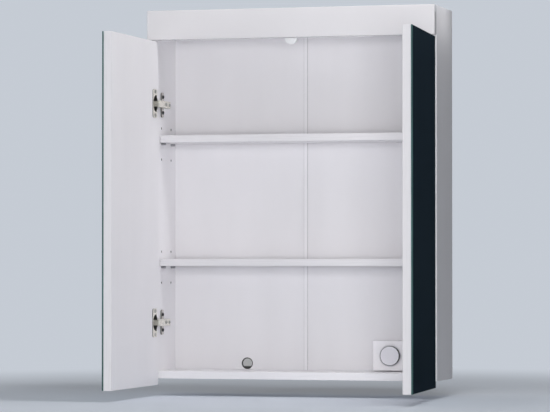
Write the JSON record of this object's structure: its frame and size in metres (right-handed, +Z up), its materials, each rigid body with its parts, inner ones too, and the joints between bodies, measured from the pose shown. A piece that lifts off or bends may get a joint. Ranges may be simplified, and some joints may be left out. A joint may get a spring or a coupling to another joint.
{
  "type": "mirrored wall cabinet",
  "caption": "Wall cabinet with mirrored doors on concealed hinges, loose shelves on pins, a front pelmet, a door stop, a cable hole and a push-button switch box.",
  "frame": {"origin": "midway between the two hanging keyholes, on the wall plane", "axes": "+X to the right seen from the front, +Y into the wall, +Z up"},
  "size_m": [0.6196, 0.451, 0.763],
  "materials": {
    "carcass_board": "satin white laminate",
    "pelmet_board": "gloss white",
    "shelf_board": "satin white laminate",
    "door_board": "satin white laminate",
    "back_board": "matt white foil",
    "mirror_glass": "polished mirror with green edges",
    "strip_plastic": "matt white",
    "dowel_wood": "raw beech",
    "stop_plastic": "satin white",
    "pin_steel": "zinc plated",
    "bracket_steel": "zinc plated",
    "screw_steel": "zinc plated",
    "hinge_steel": "nickel plated",
    "switch_plastic": "gloss white",
    "button_plastic": "gloss white"
  },
  "bodies": {
    "cabinet": {"back_joint_strip": "strip_plastic", "back_panel_left": "back_board", "back_panel_right": "back_board", "bottom_panel": "carcass_board", "carcass_dowels": "dowel_wood", "door_stop": "stop_plastic", "door_stop_screw": "screw_steel", "front_pelmet": "pelmet_board", "hanger_brackets": "bracket_steel", "hanger_screws": "screw_steel", "left_hinge_arm_screws": "screw_steel", "left_hinge_arms": "hinge_steel", "left_hinge_mounting_plates": "hinge_steel", "left_hinge_plate_screws": "screw_steel", "left_side_panel": "carcass_board", "lower_shelf_pins": "pin_steel", "pelmet_dowels": "dowel_wood", "right_hinge_arm_screws": "screw_steel", "right_hinge_arms": "hinge_steel", "right_hinge_mounting_plates": "hinge_steel", "right_hinge_plate_screws": "screw_steel", "right_side_panel": "carcass_board", "switch_base": "switch_plastic", "switch_cover": "switch_plastic", "switch_screws": "screw_steel", "top_panel": "carcass_board", "upper_shelf_pins": "pin_steel"},
    "left_door": {"left_door_panel": "door_board", "left_door_mirror": "mirror_glass", "left_hinge_cups": "hinge_steel", "left_hinge_cup_screws": "screw_steel", "left_hinge_pins": "screw_steel"},
    "right_door": {"right_door_panel": "door_board", "right_door_mirror": "mirror_glass", "right_hinge_cups": "hinge_steel", "right_hinge_cup_screws": "screw_steel", "right_hinge_pins": "screw_steel"},
    "upper_shelf": {"upper_shelf": "shelf_board"},
    "lower_shelf": {"lower_shelf": "shelf_board"},
    "switch_button": {"switch_button": "button_plastic"}
  },
  "joints": [
    {"name": "left_door_hinge", "type": "hinge", "parent": "cabinet", "child": "left_door", "pos_m": [-0.29, -0.162, 0], "axis": [0, 0, -1], "range_deg": [-90, 10]},
    {"name": "right_door_hinge", "type": "hinge", "parent": "cabinet", "child": "right_door", "pos_m": [0.29, -0.162, 0], "axis": [0, 0, 1], "range_deg": [-94, 6]},
    {"name": "upper_shelf_lift", "type": "slide", "parent": "cabinet", "child": "upper_shelf", "axis": [0, 0, 1], "range_m": [0, 0.03]},
    {"name": "lower_shelf_lift", "type": "slide", "parent": "cabinet", "child": "lower_shelf", "axis": [0, 0, 1], "range_m": [0, 0.03]},
    {"name": "switch_button_press", "type": "slide", "parent": "cabinet", "child": "switch_button", "axis": [0, 1, 0], "range_m": [0, 0.003], "stiffness_N_per_m": 600, "springref_m": -0.002}
  ]
}
